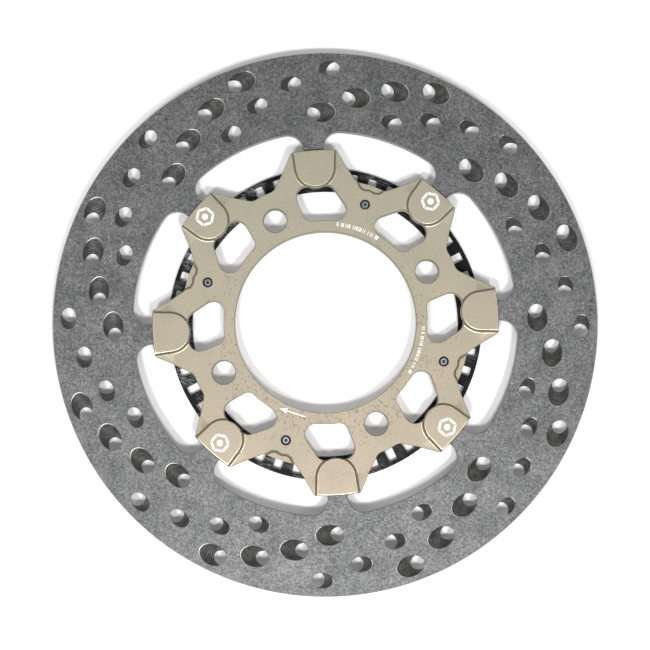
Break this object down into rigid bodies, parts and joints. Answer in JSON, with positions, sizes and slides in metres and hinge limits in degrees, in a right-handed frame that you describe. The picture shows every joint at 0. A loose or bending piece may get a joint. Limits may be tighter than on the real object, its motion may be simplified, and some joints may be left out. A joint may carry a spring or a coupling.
{
  "type": "floating brake disc rotor",
  "caption": "Flat drilled steel brake ring floating on a lighter metal carrier by pinned tongues, with a slotted sensor ring behind.",
  "frame": {"origin": "on the axle line, level with the lowest faces (the backs of the tone ring screw heads)", "axes": "+Z along the axle out of the front face, which carries the raised pads; +X through the middle of one of the eight arms"},
  "size_m": [0.256, 0.256, 0.018],
  "materials": {
    "band_steel": "matte fine-grained stainless steel, grey",
    "anodised_aluminium": "champagne anodised, fine matte grain",
    "tone_ring_black": "black coated, semi-matte",
    "pin_steel": "ground steel",
    "circlip_black": "black phosphated spring steel",
    "washer_zinc": "zinc plated steel",
    "spring_steel": "hardened spring steel",
    "screw_steel": "zinc plated steel"
  },
  "bodies": {
    "carrier": {"carrier": "anodised_aluminium", "abs_tone_ring": "tone_ring_black", "drive_pin_1": "pin_steel", "drive_pin_2": "pin_steel", "drive_pin_3": "pin_steel", "drive_pin_4": "pin_steel", "drive_pin_5": "pin_steel", "drive_pin_6": "pin_steel", "drive_pin_7": "pin_steel", "drive_pin_8": "pin_steel", "circlip_1": "circlip_black", "circlip_2": "circlip_black", "circlip_3": "circlip_black", "circlip_4": "circlip_black", "circlip_5": "circlip_black", "circlip_6": "circlip_black", "circlip_7": "circlip_black", "circlip_8": "circlip_black", "flat_washer_1": "washer_zinc", "flat_washer_2": "washer_zinc", "flat_washer_3": "washer_zinc", "flat_washer_4": "washer_zinc", "flat_washer_5": "washer_zinc", "flat_washer_6": "washer_zinc", "flat_washer_7": "washer_zinc", "flat_washer_8": "washer_zinc", "tone_ring_screw_1": "screw_steel", "tone_ring_screw_2": "screw_steel", "tone_ring_screw_3": "screw_steel", "tone_ring_screw_4": "screw_steel"},
    "wave_washers": {"wave_washer_1": "spring_steel", "wave_washer_2": "spring_steel", "wave_washer_3": "spring_steel", "wave_washer_4": "spring_steel", "wave_washer_5": "spring_steel", "wave_washer_6": "spring_steel", "wave_washer_7": "spring_steel", "wave_washer_8": "spring_steel"},
    "brake_band": {"brake_band": "band_steel"}
  },
  "joints": [
    {"name": "rotor_play", "type": "hinge", "parent": "carrier", "child": "wave_washers", "pos_m": [0, 0, 0.0115], "axis": [0, 0, 1], "range_deg": [-0.15, 0.15]},
    {"name": "rotor_float", "type": "slide", "parent": "wave_washers", "child": "brake_band", "axis": [0, 0, 1], "range_m": [-0.0003, 0.0003], "stiffness_N_per_m": 60000, "springref_m": 0.00015, "deforming": ["wave_washer_1", "wave_washer_2", "wave_washer_3", "wave_washer_4", "wave_washer_5", "wave_washer_6", "wave_washer_7", "wave_washer_8"]}
  ]
}
